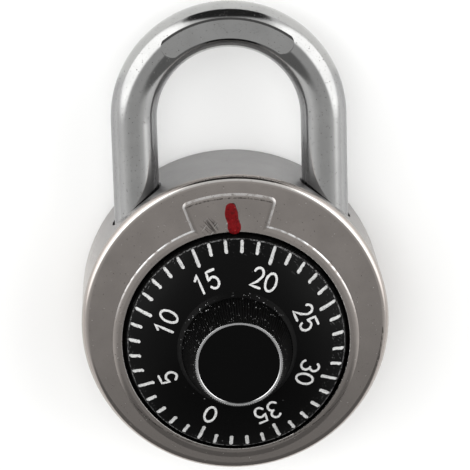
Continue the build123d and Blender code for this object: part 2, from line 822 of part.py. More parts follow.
# Latch: a hook on its pin, held clear of the toe's notch as the closing toe leaves it
with BuildPart() as latch:
    tip_x = toe_face - latch_bite - latch_x
    tip_y = notch_base - latch_y
    turn = math.radians(latch_release_angle)
    hook = Plane(
        origin=(latch_x, latch_y, latch_z),
        x_dir=(math.cos(turn), math.sin(turn), 0),
        z_dir=(0, 0, 1),
    )
    with BuildSketch(hook):
        Circle(latch_boss_diameter / 2)
        with BuildLine():
            Polyline(
                (tip_x, tip_y),
                (tip_x + nose_root_reach, tip_y - nose_root_drop),
                (arm_side, -arm_lean),
                (-arm_side, arm_lean),
                (tip_x + nose_shoulder_reach, tip_y + nose_shoulder_rise),
                (tip_x, tip_y + nose_top),
                close=True,
            )
        make_face()
        Circle(latch_pin_diameter / 2 + running_clearance, mode=Mode.SUBTRACT)
    extrude(amount=latch_thickness)
save(latch, "latch")

with BuildPart() as latch_pin:
    with BuildSketch(Plane((latch_x, latch_y, latch_pin_foot))):
        Circle(latch_pin_diameter / 2)
    extrude(amount=lever_top - latch_pin_foot)
    with BuildSketch(Plane((latch_x, latch_y, latch_pin_foot))):
        Circle(latch_pin_head / 2)
    extrude(amount=latch_pin_head_height)
    with BuildSketch(Plane((latch_x, latch_y, lever_top))):
        Circle(latch_pin_head / 2)
    extrude(amount=latch_pin_head_height)
save(latch_pin, "latch_pin")


# The two torsion springs, round the lever's post and round the latch's pin
def build_torsion_spring(x, y, base, core_radius, end_angle):
    """A close coil standing on +Z round a core, with one straight end at an angle about it."""
    with BuildPart() as spring:
        with BuildLine():
            coil = Helix(
                pitch=torsion_pitch,
                height=torsion_turns * torsion_pitch,
                radius=core_radius + torsion_gap + torsion_wire / 2,
                center=(x, y, base + torsion_wire),
            )
            Line(coil @ 1, coil @ 1 + (coil % 1) * torsion_leg)
        with BuildSketch(Plane(origin=coil @ 0, z_dir=coil % 0)):
            Circle(torsion_wire / 2)
        sweep(is_frenet=True)
    spring.part = spring.part.rotate(Axis((x, y, 0), (0, 0, 1)), end_angle)
    return spring


lever_spring_base = plate_top + rivet_head_height
lever_spring = build_torsion_spring(lever_post_x, lever_post_y, lever_spring_base, lever_post_diameter / 2, 0)
save(lever_spring, "lever_spring")
latch_spring_base = latch_pin_foot + latch_pin_head_height
latch_spring = build_torsion_spring(latch_x, latch_y, latch_spring_base, latch_pin_diameter / 2, 180)
save(latch_spring, "latch_spring")
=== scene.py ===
"""Looks of a dial combination padlock: its finishes, its painted figures and a plain studio round it.

The lock lies on its back. Lengths named in millimetres are turned to metres by MM where they are used.
"""

from __future__ import annotations

import logging
import math
from dataclasses import dataclass, field
from enum import Enum

import bpy
from mathutils import Matrix, Vector


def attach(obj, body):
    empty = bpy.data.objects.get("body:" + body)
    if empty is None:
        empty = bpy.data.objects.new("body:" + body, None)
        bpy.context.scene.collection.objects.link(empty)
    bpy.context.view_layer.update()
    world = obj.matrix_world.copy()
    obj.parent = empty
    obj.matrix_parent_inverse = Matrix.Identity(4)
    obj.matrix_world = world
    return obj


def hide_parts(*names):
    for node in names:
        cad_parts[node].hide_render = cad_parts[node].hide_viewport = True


LOG = logging.getLogger("padlock")
MM = 0.001
MERGE_M = 1e-6

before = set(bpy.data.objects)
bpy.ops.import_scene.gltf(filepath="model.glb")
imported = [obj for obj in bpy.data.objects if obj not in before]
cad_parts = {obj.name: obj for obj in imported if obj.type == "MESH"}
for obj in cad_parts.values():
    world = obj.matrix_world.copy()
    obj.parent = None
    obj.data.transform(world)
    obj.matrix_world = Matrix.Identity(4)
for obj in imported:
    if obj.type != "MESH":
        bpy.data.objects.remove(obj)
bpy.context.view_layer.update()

Tree = bpy.types.NodeTree
Socket = bpy.types.NodeSocket
Colour = tuple[float, float, float, float]
Point = tuple[float, float]
Triple = tuple[float, float, float]

# Where the lock's main axes and its flat face lie
DIAL_AXIS_Y_MM = -2.7
DIAL_AXIS_MM: Point = (0.0, DIAL_AXIS_Y_MM)
DRUM_AXIS_MM: Point = (0.0, 0.0)
BOW_CENTRE_MM: Point = (0.0, 31.8)
TOWARDS_BOW: Point = (0.0, 1.0)
FACE_MM = 17.3
OVER_FACE_MM = 17.6

# How the patterns are drawn from cells and from noise
NOISE_SPAN = (0.3, 0.7)
NOISE_TOP = 0.75
BLOTCH_DETAIL = 6.0
GRAIN_DETAIL = 3.0
CLOUD_DETAIL = 5.0
SCRATCH_DETAIL = 1.0
SCRATCH_STRETCH = 16.0
SPECK_CELL = 3.0
SPECK_REACH = 0.36
DUST_AND_HIGHLIGHT_PATCH = 9.0
DUST_AND_HIGHLIGHT_DETAIL = 2.0
DUST_AND_HIGHLIGHT_SPAN = (0.48, 0.56)
SIDE_SPAN = (0.2, 0.75)
DULLEST_SHARE = 1.15
GLOSSIEST_SHARE = 0.9
METAL_FROM = 0.5


class Slot(Enum):
    """Material slot names for the dial's black and the mark's red; no piece here takes its finish from them.
    """

    DIAL = "dial_black"
    MARK = "mark_red"


class Pattern(Enum):
    """How a layer covers its zone."""

    EVEN = "even"
    CLOUDS = "clouds"
    SPECKS = "specks"
    DUST = "dust"
    SCRATCHES = "scratches"


# How softly a pattern drawn from noise ends
PATTERN_EDGE = {Pattern.SCRATCHES: 0.03, Pattern.CLOUDS: 0.2, Pattern.EVEN: 0.3}


def to_linear(code: str) -> Colour:
    """Turn an sRGB hex colour into linear light.

    Args:
        code: The colour as "#rrggbb".

    Returns:
        Red, green, blue and a full alpha.
    """
    values = [int(code[i : i + 2], 16) / 255 for i in (1, 3, 5)]
    red, green, blue = [v / 12.92 if v <= 0.04045 else ((v + 0.055) / 1.055) ** 2.4 for v in values]
    return red, green, blue, 1.0


def grey(value: float) -> Colour:
    """A plain linear value as a colour."""
    return value, value, value, 1.0


def per_metre(size_mm: float) -> float:
    """How many times a pattern of this size fits in a metre."""
    return 1 / (size_mm * MM)


def add_node(tree: Tree, kind: str, sets: dict | None = None, links: dict | None = None) -> bpy.types.Node:
    """Add one node, with its settings and its incoming links.

    Args:
        tree: The node tree that it joins.
        kind: The node's type name.
        sets: Attributes by name, socket values by name after an "in:" prefix, or by number.
        links: Input sockets, by name or number, with the output socket that feeds each.

    Returns:
        The new node.
    """
    node = tree.nodes.new(kind)
    for key, value in (sets or {}).items():
        if isinstance(key, int):
            node.inputs[key].default_value = value
        elif key.startswith("in:"):
            node.inputs[key[3:]].default_value = value
        else:
            setattr(node, key, value)
    for key, output in (links or {}).items():
        tree.links.new(output, node.inputs[key])
    return node


def multiply(tree: Tree, first: Socket, second: Socket) -> Socket:
    """The product of two values."""
    return add_node(tree, "ShaderNodeMath", {"operation": "MULTIPLY"}, {0: first, 1: second}).outputs[0]


def ramp(
    tree: Tree, value: Socket, low: float, high: float, start: float = 0.0, end: float = 1.0
) -> Socket:
    """A value that goes from one number to another while its source crosses a span.

    Args:
        tree: The node tree.
        value: The source.
        low: Where the span begins.
        high: Where the span ends.
        start: The result up to the span.
        end: The result past the span.

    Returns:
        The new value's socket.
    """
    sets = {1: low, 2: high, 3: start, 4: end}
    return add_node(tree, "ShaderNodeMapRange", sets, {0: value}).outputs[0]


def between(tree: Tree, value: Socket, low: float, high: float, soft: float) -> Socket:
    """A value that is 1 between two limits and falls softly to 0 past them.

    Args:
        tree: The node tree.
        value: What is measured.
        low: The lower limit.
        high: The upper limit.
        soft: The width of each fall.

    Returns:
        The new value's socket.
    """
    rise = ramp(tree, value, low - soft, low)
    fall = ramp(tree, value, high, high + soft, 1.0, 0.0)
    return multiply(tree, rise, fall)


def noise(tree: Tree, place: Socket, scale: float, detail: float) -> Socket:
    """Soft noise.

    Args:
        tree: The node tree.
        place: The coordinates that it is drawn on.
        scale: How many waves there are to a metre.
        detail: How many finer waves are laid over them.

    Returns:
        The noise's socket.
    """
    sets = {"in:Scale": scale, "in:Detail": detail}
    return add_node(tree, "ShaderNodeTexNoise", sets, {"Vector": place}).outputs[0]


def lay_over(tree: Tree, under: Socket, colour: Colour, share: Socket) -> Socket:
    """Lay a plain colour over another.

    Args:
        tree: The node tree.
        under: The colour that is there.
        colour: The colour that comes over it.
        share: How much of it comes through.

    Returns:
        The mixed colour's socket.
    """
    sets = {"data_type": "RGBA", 7: colour}
    return add_node(tree, "ShaderNodeMix", sets, {0: share, 6: under}).outputs[2]


def vector_math(tree: Tree, operation: str, first: Socket, second: Triple | None = None) -> bpy.types.Node:
    """Work on a place or a direction.

    Args:
        tree: The node tree.
        operation: The node's operation.
        first: The place or direction.
        second: The constant that is used with it, if there is one.

    Returns:
        The new node.
    """
    sets = {"operation": operation}
    if second is not None:
        sets[1] = second
    return add_node(tree, "ShaderNodeVectorMath", sets, {0: first})


@dataclass(frozen=True)
class Zone:
    """A part of a piece, by its distance from an upright axis, by its height and by its side."""

    outer_mm: float
    inner_mm: float = -1.0
    centre_mm: Point = DIAL_AXIS_MM
    low_mm: float = -5.0
    high_mm: float = 60.0
    soft_mm: float = 0.1
    side: Point | None = None

    def mask(self, tree: Tree, place: Socket) -> Socket:
        """Nodes that are 1 inside the zone and 0 outside it.

        Args:
            tree: The material's nodes.
            place: The Object coordinates.

        Returns:
            The mask's socket.
        """
        centre = (self.centre_mm[0] * MM, self.centre_mm[1] * MM, 0.0)
        moved = vector_math(tree, "SUBTRACT", place, centre).outputs[0]
        flat = vector_math(tree, "MULTIPLY", moved, (1.0, 1.0, 0.0)).outputs[0]
        reach = vector_math(tree, "LENGTH", flat).outputs["Value"]
        height = add_node(tree, "ShaderNodeSeparateXYZ", links={0: place}).outputs["Z"]
        soft = self.soft_mm * MM
        ring = between(tree, reach, self.inner_mm * MM, self.outer_mm * MM, soft)
        mask = multiply(tree, ring, between(tree, height, self.low_mm * MM, self.high_mm * MM, soft))
        if self.side is not None:
            aim = Vector((self.side[0], self.side[1], 0.0)).normalized()
            along = vector_math(tree, "NORMALIZE", flat).outputs[0]
            turn = vector_math(tree, "DOT_PRODUCT", along, tuple(aim)).outputs["Value"]
            mask = multiply(tree, mask, ramp(tree, turn, *SIDE_SPAN))
        return mask


@dataclass(frozen=True)
class Layer:
    """Something that lies on a finish: tarnish, dirt, dust, pits or scratches, or painted shade and painted
    highlights.
    """

    colour: str
    pattern: Pattern
    size_mm: float
    share: float
    strength: float = 1.0
    zone: Zone | None = None
    sink: float = 0.0
    turn_deg: float = 0.0
    dull: float = 0.25

    def from_cells(self, tree: Tree, place: Socket) -> Socket:
        """Nodes that draw specks of several sizes, all over or gathered in patches.

        Args:
            tree: The material's nodes.
            place: The Object coordinates.

        Returns:
            A socket that is 1 on the specks.
        """
        scale = per_metre(self.size_mm)
        cells = add_node(tree, "ShaderNodeTexVoronoi", {"in:Scale": scale / SPECK_CELL}, {"Vector": place})
        lots = add_node(tree, "ShaderNodeSeparateColor", links={0: cells.outputs["Color"]}).outputs["Red"]
        reach = ramp(tree, lots, 1 - self.share, 1.0, 0.0, SPECK_REACH)
        links = {0: cells.outputs["Distance"], 1: reach}
        specks = add_node(tree, "ShaderNodeMath", {"operation": "LESS_THAN"}, links).outputs[0]
        if self.pattern is Pattern.SPECKS:
            return specks
        patches = noise(tree, place, scale / DUST_AND_HIGHLIGHT_PATCH, DUST_AND_HIGHLIGHT_DETAIL)
        return multiply(tree, specks, ramp(tree, patches, *DUST_AND_HIGHLIGHT_SPAN))

    def from_noise(self, tree: Tree, place: Socket) -> Socket:
        """Nodes that draw scratches, clouds or a nearly even cover.

        Args:
            tree: The material's nodes.
            place: The Object coordinates.

        Returns:
            A socket that is 1 where the pattern covers the finish.
        """
        fine = self.pattern is Pattern.SCRATCHES
        sets = {
            "vector_type": "TEXTURE",
            "in:Rotation": (0.0, 0.0, math.radians(self.turn_deg)),
            "in:Scale": (1.0, SCRATCH_STRETCH if fine else 1.0, 1.0),
        }
        lie = add_node(tree, "ShaderNodeMapping", sets, {"Vector": place}).outputs[0]
        waves = noise(tree, lie, per_metre(self.size_mm), SCRATCH_DETAIL if fine else CLOUD_DETAIL)
        low = NOISE_TOP - self.share
        return ramp(tree, waves, low, low + PATTERN_EDGE[self.pattern])

    def cover(self, tree: Tree, place: Socket) -> Socket:
        """Nodes that say how much the layer covers the finish, from 0 to its strength.

        Args:
            tree: The material's nodes.
            place: The Object coordinates.

        Returns:
            The cover's socket.
        """
        in_cells = self.pattern in (Pattern.SPECKS, Pattern.DUST)
        cover = self.from_cells(tree, place) if in_cells else self.from_noise(tree, place)
        if self.zone is not None:
            cover = multiply(tree, cover, self.zone.mask(tree, place))
        sets = {"operation": "MULTIPLY", 1: self.strength}
        return add_node(tree, "ShaderNodeMath", sets, {0: cover}).outputs[0]


@dataclass(frozen=True)
class Finish:
    """One surface finish: its colour, its gloss, the real size of its grain and what lies on it."""

    name: str
    colour: str
    metallic: float
    roughness: float
    grain_mm: float
    grain_depth_mm: float
    layers: tuple[Layer, ...] = ()
    specular: float = 0.5
    blotch_mm: float = 5.0
    blotch: float = 0.12

    def build(self) -> bpy.types.Material:
        """Make the material, on Object coordinates.

        Returns:
            The material, ready to be put on a piece.
        """
        material = bpy.data.materials.new(self.name)
        material.use_nodes = True
        tree = material.node_tree
        shader = tree.nodes["Principled BSDF"]
        shader.inputs["Metallic"].default_value = self.metallic
        if self.metallic < METAL_FROM:
            shader.inputs["Specular IOR Level"].default_value = self.specular
        place = add_node(tree, "ShaderNodeTexCoord").outputs["Object"]
        blotch = noise(tree, place, per_metre(self.blotch_mm), BLOTCH_DETAIL)
        shade = ramp(tree, blotch, *NOISE_SPAN, 1 - self.blotch, 1.0)
        mix = {"data_type": "RGBA", "blend_type": "MULTIPLY", 0: 1.0, 6: to_linear(self.colour)}
        colour = add_node(tree, "ShaderNodeMix", mix, {7: shade}).outputs[2]
        dullest, glossiest = self.roughness * DULLEST_SHARE, self.roughness * GLOSSIEST_SHARE
        gloss = ramp(tree, blotch, *NOISE_SPAN, dullest, glossiest)
        height = noise(tree, place, per_metre(self.grain_mm), GRAIN_DETAIL)
        for layer in self.layers:
            cover = layer.cover(tree, place)
            colour = lay_over(tree, colour, to_linear(layer.colour), cover)
            more = {"operation": "MULTIPLY_ADD", "use_clamp": True, 1: layer.dull}
            gloss = add_node(tree, "ShaderNodeMath", more, {0: cover, 2: gloss}).outputs[0]
            if layer.sink:
                less = {"operation": "MULTIPLY_ADD", 1: -layer.sink}
                height = add_node(tree, "ShaderNodeMath", less, {0: cover, 2: height}).outputs[0]
        bump = add_node(tree, "ShaderNodeBump", {"in:Distance": self.grain_depth_mm * MM}, {"Height": height})
        tree.links.new(colour, shader.inputs["Base Color"])
        tree.links.new(gloss, shader.inputs["Roughness"])
        tree.links.new(bump.outputs[0], shader.inputs["Normal"])
        return material


# Zones of the drum: the dial's well, the raised bezel round it, the index window and the drum's edge
# Where the dial's well gets painted shade, near black
WELL_PAINTED_SHADE = Zone(17.9, 10.0, low_mm=15.0, high_mm=17.15, soft_mm=0.15)
# Where a painted highlight runs along the well's lip
WELL_LIP_PAINTED_HIGHLIGHT = Zone(17.86, 17.72, low_mm=FACE_MM, high_mm=OVER_FACE_MM, soft_mm=0.04)
BEZEL_INSIDE = Zone(18.5, 17.75, low_mm=FACE_MM, high_mm=OVER_FACE_MM, soft_mm=0.15)
# Where a painted highlight lies on the bezel's shoulder, on the side towards the bow
BEZEL_SHOULDER_PAINTED_HIGHLIGHT = Zone(19.26, 19.04, low_mm=17.27, high_mm=17.43, soft_mm=0.06, side=TOWARDS_BOW)
# Where painted shade darkens the crease at the bezel's foot
BEZEL_CREASE_PAINTED_SHADE = Zone(19.42, 19.27, low_mm=17.2, high_mm=17.36, soft_mm=0.05)
# Where a line of painted shade runs along the index window's outer arc
WINDOW_PAINTED_SHADE_LINE = Zone(20.62, 20.44, DRUM_AXIS_MM, 17.38, OVER_FACE_MM, 0.04)
# Where painted highlights lie on the slopes of the raised window
WINDOW_SLOPE_PAINTED_HIGHLIGHT = Zone(24.0, 19.35, low_mm=17.33, high_mm=17.43, soft_mm=0.03)
RUBBED_PATCH = Zone(0.9, -1.0, (-3.6, 16.0), FACE_MM, OVER_FACE_MM, 0.7)
# Where the drum's side towards the bow gets painted shade
DRUM_SIDE_PAINTED_SHADE = Zone(24.5, 23.2, DRUM_AXIS_MM, -1.0, 16.9, 0.2, TOWARDS_BOW)
DRUM_EDGE = Zone(24.2, 22.95, DRUM_AXIS_MM, 16.3, 17.4, 0.1)
# Where a painted highlight runs along the crest of the drum's edge, on the side towards the bow
DRUM_EDGE_CREST_PAINTED_HIGHLIGHT = Zone(23.5, 23.2, DRUM_AXIS_MM, 17.0, 17.4, 0.08, TOWARDS_BOW)

# Zones of the shackle
# Where the shackle's lower part gets painted shade
ROD_UNDERSIDE_PAINTED_SHADE = Zone(44.0, high_mm=12.6, soft_mm=1.5)
# Where a painted shadow runs along the pressed panel's outer edge
PANEL_EDGE_PAINTED_SHADOW = Zone(16.31, 15.95, BOW_CENTRE_MM, 14.1, 14.172, 0.008, TOWARDS_BOW)

# Zones of the dial and its knob
KNOB_FLANK = Zone(8.8, 6.72, low_mm=22.0, high_mm=28.45, soft_mm=0.05)
KNOB_FOOT = Zone(9.0, 7.9, low_mm=21.5, high_mm=23.8, soft_mm=0.3, side=(-0.35, 1.0))
KNOB_TOP_LEFT = Zone(7.6, 6.8, low_mm=26.2, high_mm=28.5, soft_mm=0.3, side=(-0.75, 0.6))
KNOB_TOP_RIGHT = Zone(7.6, 6.8, low_mm=26.2, high_mm=28.5, soft_mm=0.3, side=(0.9, 0.4))
KNOB_BOW_SIDE = Zone(8.4, 6.6, low_mm=24.0, high_mm=28.2, side=(-0.4, 1.0))
# Where a painted highlight runs along the edge of the dial's dome
DIAL_EDGE_PAINTED_HIGHLIGHT = Zone(17.06, 16.84, low_mm=18.2, high_mm=18.5, soft_mm=0.02)
DIAL_RIGHT = Zone(17.0, 15.0, soft_mm=0.6, side=(1.0, 0.4))
DIAL_RIM = Zone(17.1, 16.2, soft_mm=0.3)

# Drawn stainless sheet, rubbed to a satin and handled for years: it reads soft grey with a warm cast. Its
# well, window line, bezel crease and the drum's side towards the bow carry painted shade; its well lip,
# window slopes, bezel shoulder and edge crest carry painted highlights
DRAWN_STAINLESS = Finish(
    name="drawn_stainless",
    colour="#aca5a0",
    metallic=1.0,
    roughness=0.19,
    grain_mm=0.1,
    grain_depth_mm=0.0012,
    layers=(
        Layer("#6e6862", Pattern.CLOUDS, 0.5, 0.1, 0.35),
        Layer("#262320", Pattern.SPECKS, 0.07, 0.05, 0.8, sink=2.0),
        Layer("#e8e6e2", Pattern.SPECKS, 0.06, 0.02, 0.7),
        # Painted shade: the dial's well, its wall and floor, made near black
        Layer("#12100f", Pattern.EVEN, 0.3, 0.7, 1.0, WELL_PAINTED_SHADE),
        # Painted shade: a dark line along the index window's outer arc
        Layer("#2b2724", Pattern.EVEN, 0.3, 0.4, 0.9, WINDOW_PAINTED_SHADE_LINE),
        # Painted shade: a dark line in the crease at the bezel's foot
        Layer("#3a3530", Pattern.EVEN, 0.4, 0.2, 0.6, BEZEL_CREASE_PAINTED_SHADE),
        Layer("#262220", Pattern.SCRATCHES, 0.16, 0.19, 0.65, RUBBED_PATCH, sink=4.0, turn_deg=40.0),
        Layer("#f4f2ee", Pattern.SCRATCHES, 0.16, 0.16, 0.65, RUBBED_PATCH, turn_deg=-40.0),
        # Painted highlight: a pale line along the well's lip
        Layer("#f0eeea", Pattern.EVEN, 0.3, 0.5, 0.55, WELL_LIP_PAINTED_HIGHLIGHT),
        Layer("#3a3530", Pattern.CLOUDS, 0.14, 0.14, 0.55, BEZEL_INSIDE, sink=1.0),
        # Painted shade: the drum's side towards the bow made darker and neutral, dimming the floor that it
        # mirrors
        Layer("#8b8c8e", Pattern.EVEN, 0.4, 0.7, 0.75, DRUM_SIDE_PAINTED_SHADE),
        # Painted highlight: white clouds on the slopes of the raised window
        Layer("#ffffff", Pattern.CLOUDS, 0.9, 0.45, 0.4, WINDOW_SLOPE_PAINTED_HIGHLIGHT),
        # Painted highlight: white on the bezel's shoulder, on the side towards the bow
        Layer("#ffffff", Pattern.CLOUDS, 0.9, 0.42, 0.9, BEZEL_SHOULDER_PAINTED_HIGHLIGHT, dull=-0.06),
        Layer("#aca5a0", Pattern.EVEN, 0.4, 0.75, 1.0, DRUM_EDGE, dull=-0.1),
        # Painted highlight: a pale line along the crest of the drum's edge, on the side towards the bow
        Layer("#efece8", Pattern.EVEN, 0.4, 0.6, 0.7, DRUM_EDGE_CREST_PAINTED_HIGHLIGHT, dull=-0.1),
    ),
)
# Hardened bar with bright plate: sharp reflections, broken by small pits where the plate has gone. Painted
# shade darkens its lower part, and a painted shadow runs along the pressed panel's outer edge
BRIGHT_PLATE = Finish(
    name="bright_plate",
    colour="#b2b2b1",
    metallic=1.0,
    roughness=0.1,
    grain_mm=0.3,
    grain_depth_mm=0.0022,
    layers=(
        # Painted shade: the shackle's lower part made darker, dimming the floor that it mirrors
        Layer("#8c8c8e", Pattern.EVEN, 0.5, 0.7, 0.75, ROD_UNDERSIDE_PAINTED_SHADE),
        # Painted shadow: a dark line along the pressed panel's outer edge
        Layer("#343332", Pattern.EVEN, 0.4, 0.7, 0.8, PANEL_EDGE_PAINTED_SHADOW),
        Layer("#23211e", Pattern.SPECKS, 0.08, 0.05, 0.9, sink=4.0),
        Layer("#3a2f28", Pattern.DUST, 0.07, 0.45, 0.9, sink=3.0),
        Layer("#4a4640", Pattern.CLOUDS, 0.25, 0.1, 0.5, sink=1.0),
    ),
)
# Cold-rolled plate inside the drum: plain mill grey
MILL_STEEL = Finish("mill_steel", "#9a9997", 1.0, 0.4, 0.08, 0.002)
# Music wire: dark drawn grey with a slight sheen
MUSIC_WIRE = Finish("music_wire", "#6a6a6b", 1.0, 0.3, 0.05, 0.001)
# Turned brass: warm yellow, lightly toned
TURNED_BRASS = Finish("turned_brass", "#b8914a", 1.0, 0.28, 0.06, 0.0015, blotch=0.3)
# Zinc die casting: dull blue-grey with a fine cast skin
CAST_ZINC = Finish("cast_zinc", "#8e9194", 1.0, 0.5, 0.15, 0.004)
# Black moulding compound, half glossy: fine pale scuffs, and dust caught at the foot of the knob, with a
# painted highlight along the dial's edge
BLACK_MOULDING = Finish(
    name="black_moulding",
    colour="#070707",
    metallic=0.0,
    roughness=0.3,
    grain_mm=0.12,
    grain_depth_mm=0.0008,
    layers=(
        Layer("#050505", Pattern.EVEN, 0.3, 0.75, 1.0, KNOB_FLANK),
        Layer("#d0d0d0", Pattern.DUST, 0.11, 0.6, 0.85, KNOB_FOOT),
        Layer("#bcbcbc", Pattern.DUST, 0.1, 0.55, 0.6, KNOB_TOP_LEFT),
        Layer("#bcbcbc", Pattern.DUST, 0.1, 0.55, 0.6, KNOB_TOP_RIGHT),
        Layer("#a0a0a0", Pattern.DUST, 0.07, 0.15, 0.6, KNOB_BOW_SIDE),
        Layer("#8d8d8d", Pattern.SPECKS, 0.08, 0.004, 0.6),
        # Painted highlight: a grey line along the edge of the dial's dome
        Layer("#9c9c9c", Pattern.EVEN, 0.25, 0.3, 0.8, DIAL_EDGE_PAINTED_HIGHLIGHT),
        Layer("#6f6f6f", Pattern.SCRATCHES, 0.16, 0.06, 0.5, DIAL_RIGHT, turn_deg=40.0),
        Layer("#6f6f6f", Pattern.SCRATCHES, 0.14, 0.05, 0.5, DIAL_RIM, turn_deg=-25.0),
    ),
    specular=0.07,
)
# Polished chrome band round the knob's top
CHROME_BAND = Finish("chrome_band", "#dcdcdc", 1.0, 0.22, 0.06, 0.003)
# Black lacquered inlay in the knob's top: even and smooth
BLACK_INLAY = Finish("black_inlay", "#050505", 0.0, 0.35, 0.1, 0.0005, specular=0.07)
# Red enamel wiped into the stamped slot: dark red, thick and uneven, with pale pink specks that are painted
# highlights
RED_ENAMEL = Finish(
    name="red_enamel",
    colour="#6b0c10",
    metallic=0.0,
    roughness=0.3,
    grain_mm=0.4,
    grain_depth_mm=0.03,
    layers=(
        Layer("#3a0609", Pattern.CLOUDS, 0.35, 0.28, 0.75),
        # Painted highlights: pale pink specks on the enamel
        Layer("#b5484b", Pattern.DUST, 0.13, 0.5, 0.55),
    ),
    specular=0.12,
)
# White paint wiped into the engraved lines: chalky, a little grey where it has worn
WHITE_FILL = Finish(
    name="white_fill",
    colour="#d4d4d3",
    metallic=0.0,
    roughness=0.6,
    grain_mm=0.12,
    grain_depth_mm=0.008,
    layers=(Layer("#7c7c7c", Pattern.CLOUDS, 0.2, 0.24, 0.8),),
    specular=0.2,
)
# Seamless studio paper, plain and matte
STUDIO_PAPER = Finish(
    name="studio_paper",
    colour="#f8f8f7",
    metallic=0.0,
    roughness=0.9,
    grain_mm=0.6,
    grain_depth_mm=0.002,
    specular=0.1,
    blotch_mm=60.0,
    blotch=0.02,
)

NODE_FINISHES: dict[str, Finish] = {
    "front_shell": DRAWN_STAINLESS,
    "back_plate": DRAWN_STAINLESS,
    "shackle": BRIGHT_PLATE,
    "dial": BLACK_MOULDING,
    "knob_ring": CHROME_BAND,
    "knob_cap": BLACK_INLAY,
    "index_mark": RED_ENAMEL,
    "wheel_spring": MUSIC_WIRE,
    "lever_spring": MUSIC_WIRE,
    "latch_spring": MUSIC_WIRE,
    "wheel_middle": TURNED_BRASS,
    "wheel_rear": TURNED_BRASS,
    "spindle_bushing": TURNED_BRASS,
    "heel_guide": CAST_ZINC,
    "toe_guide": CAST_ZINC,
    "drive_cam": CAST_ZINC,
}


def paint(piece: bpy.types.Object, material: bpy.types.Material) -> None:
    """Put one material on all of a piece.

    Args:
        piece: The object.
        material: What it gets.
    """
    if not piece.material_slots:
        piece.data.materials.append(material)
    for slot in piece.material_slots:
        slot.material = material


def select_only(piece: bpy.types.Object) -> None:
    """Select one object alone and make it active.

    Args:
        piece: The object.
    """
    bpy.ops.object.select_all(action="DESELECT")
    piece.select_set(True)
    bpy.context.view_layer.objects.active = piece


@dataclass(frozen=True)
class Brush:
    """A maker of round-ended strokes, whose domed sheets lie level at one height."""

    level_mm: float = 30.0
    segments: int = 5
    closed_mm: float = 1e-6
    end_shares: tuple[float, ...] = (0.4, 0.7, 0.9, 0.99)

    def rounded(self, line: list[Triple]) -> list[Triple]:
        """Add points past an open stroke's ends, narrowing like half circles.

        Args:
            line: The stroke's points of x, y and half width.

        Returns:
            All the points, or the same ones where the stroke is closed.
        """
        if math.dist(line[0][:2], line[-1][:2]) < self.closed_mm:
            return list(line)
        ends = []
        for (x, y, half), far in ((line[0], line[1]), (line[-1], line[-2])):
            along = Vector((x - far[0], y - far[1])).normalized() * half
            ends.append(
                [(x + along.x * s, y + along.y * s, half * math.sqrt(1 - s * s)) for s in self.end_shares]
            )
        return ends[0][::-1] + list(line) + ends[1]

    def sheet(self, name: str, lines: list[list[Triple]]) -> bpy.types.Object:
        """Make one sheet from strokes.

        Args:
            name: The new object's name.
            lines: Strokes as points of x, y and half width in millimetres.

        Returns:
            The sheet as a mesh object, domed upwards by half its width.
        """
        curve = bpy.data.curves.new(name, "CURVE")
        curve.dimensions = "3D"
        curve.bevel_depth = MM
        curve.bevel_resolution = self.segments
        for line in lines:
            points = self.rounded(line)
            spline = curve.splines.new("POLY")
            spline.points.add(len(points) - 1)
            for point, (x, y, half) in zip(spline.points, points):
                point.co = (x * MM, y * MM, self.level_mm * MM, 1.0)
                point.radius = half
        piece = bpy.data.objects.new(name, curve)
        bpy.context.scene.collection.objects.link(piece)
        select_only(piece)
        bpy.ops.object.convert(target="MESH")
        bpy.ops.object.mode_set(mode="EDIT")
        bpy.ops.mesh.select_all(action="SELECT")
        bpy.ops.mesh.remove_doubles(threshold=MERGE_M)
        bpy.ops.mesh.normals_make_consistent(inside=False)
        bpy.ops.mesh.bisect(plane_co=(0, 0, self.level_mm * MM), plane_no=(0, 0, 1), clear_inner=True)
        bpy.ops.object.mode_set(mode="OBJECT")
        return piece


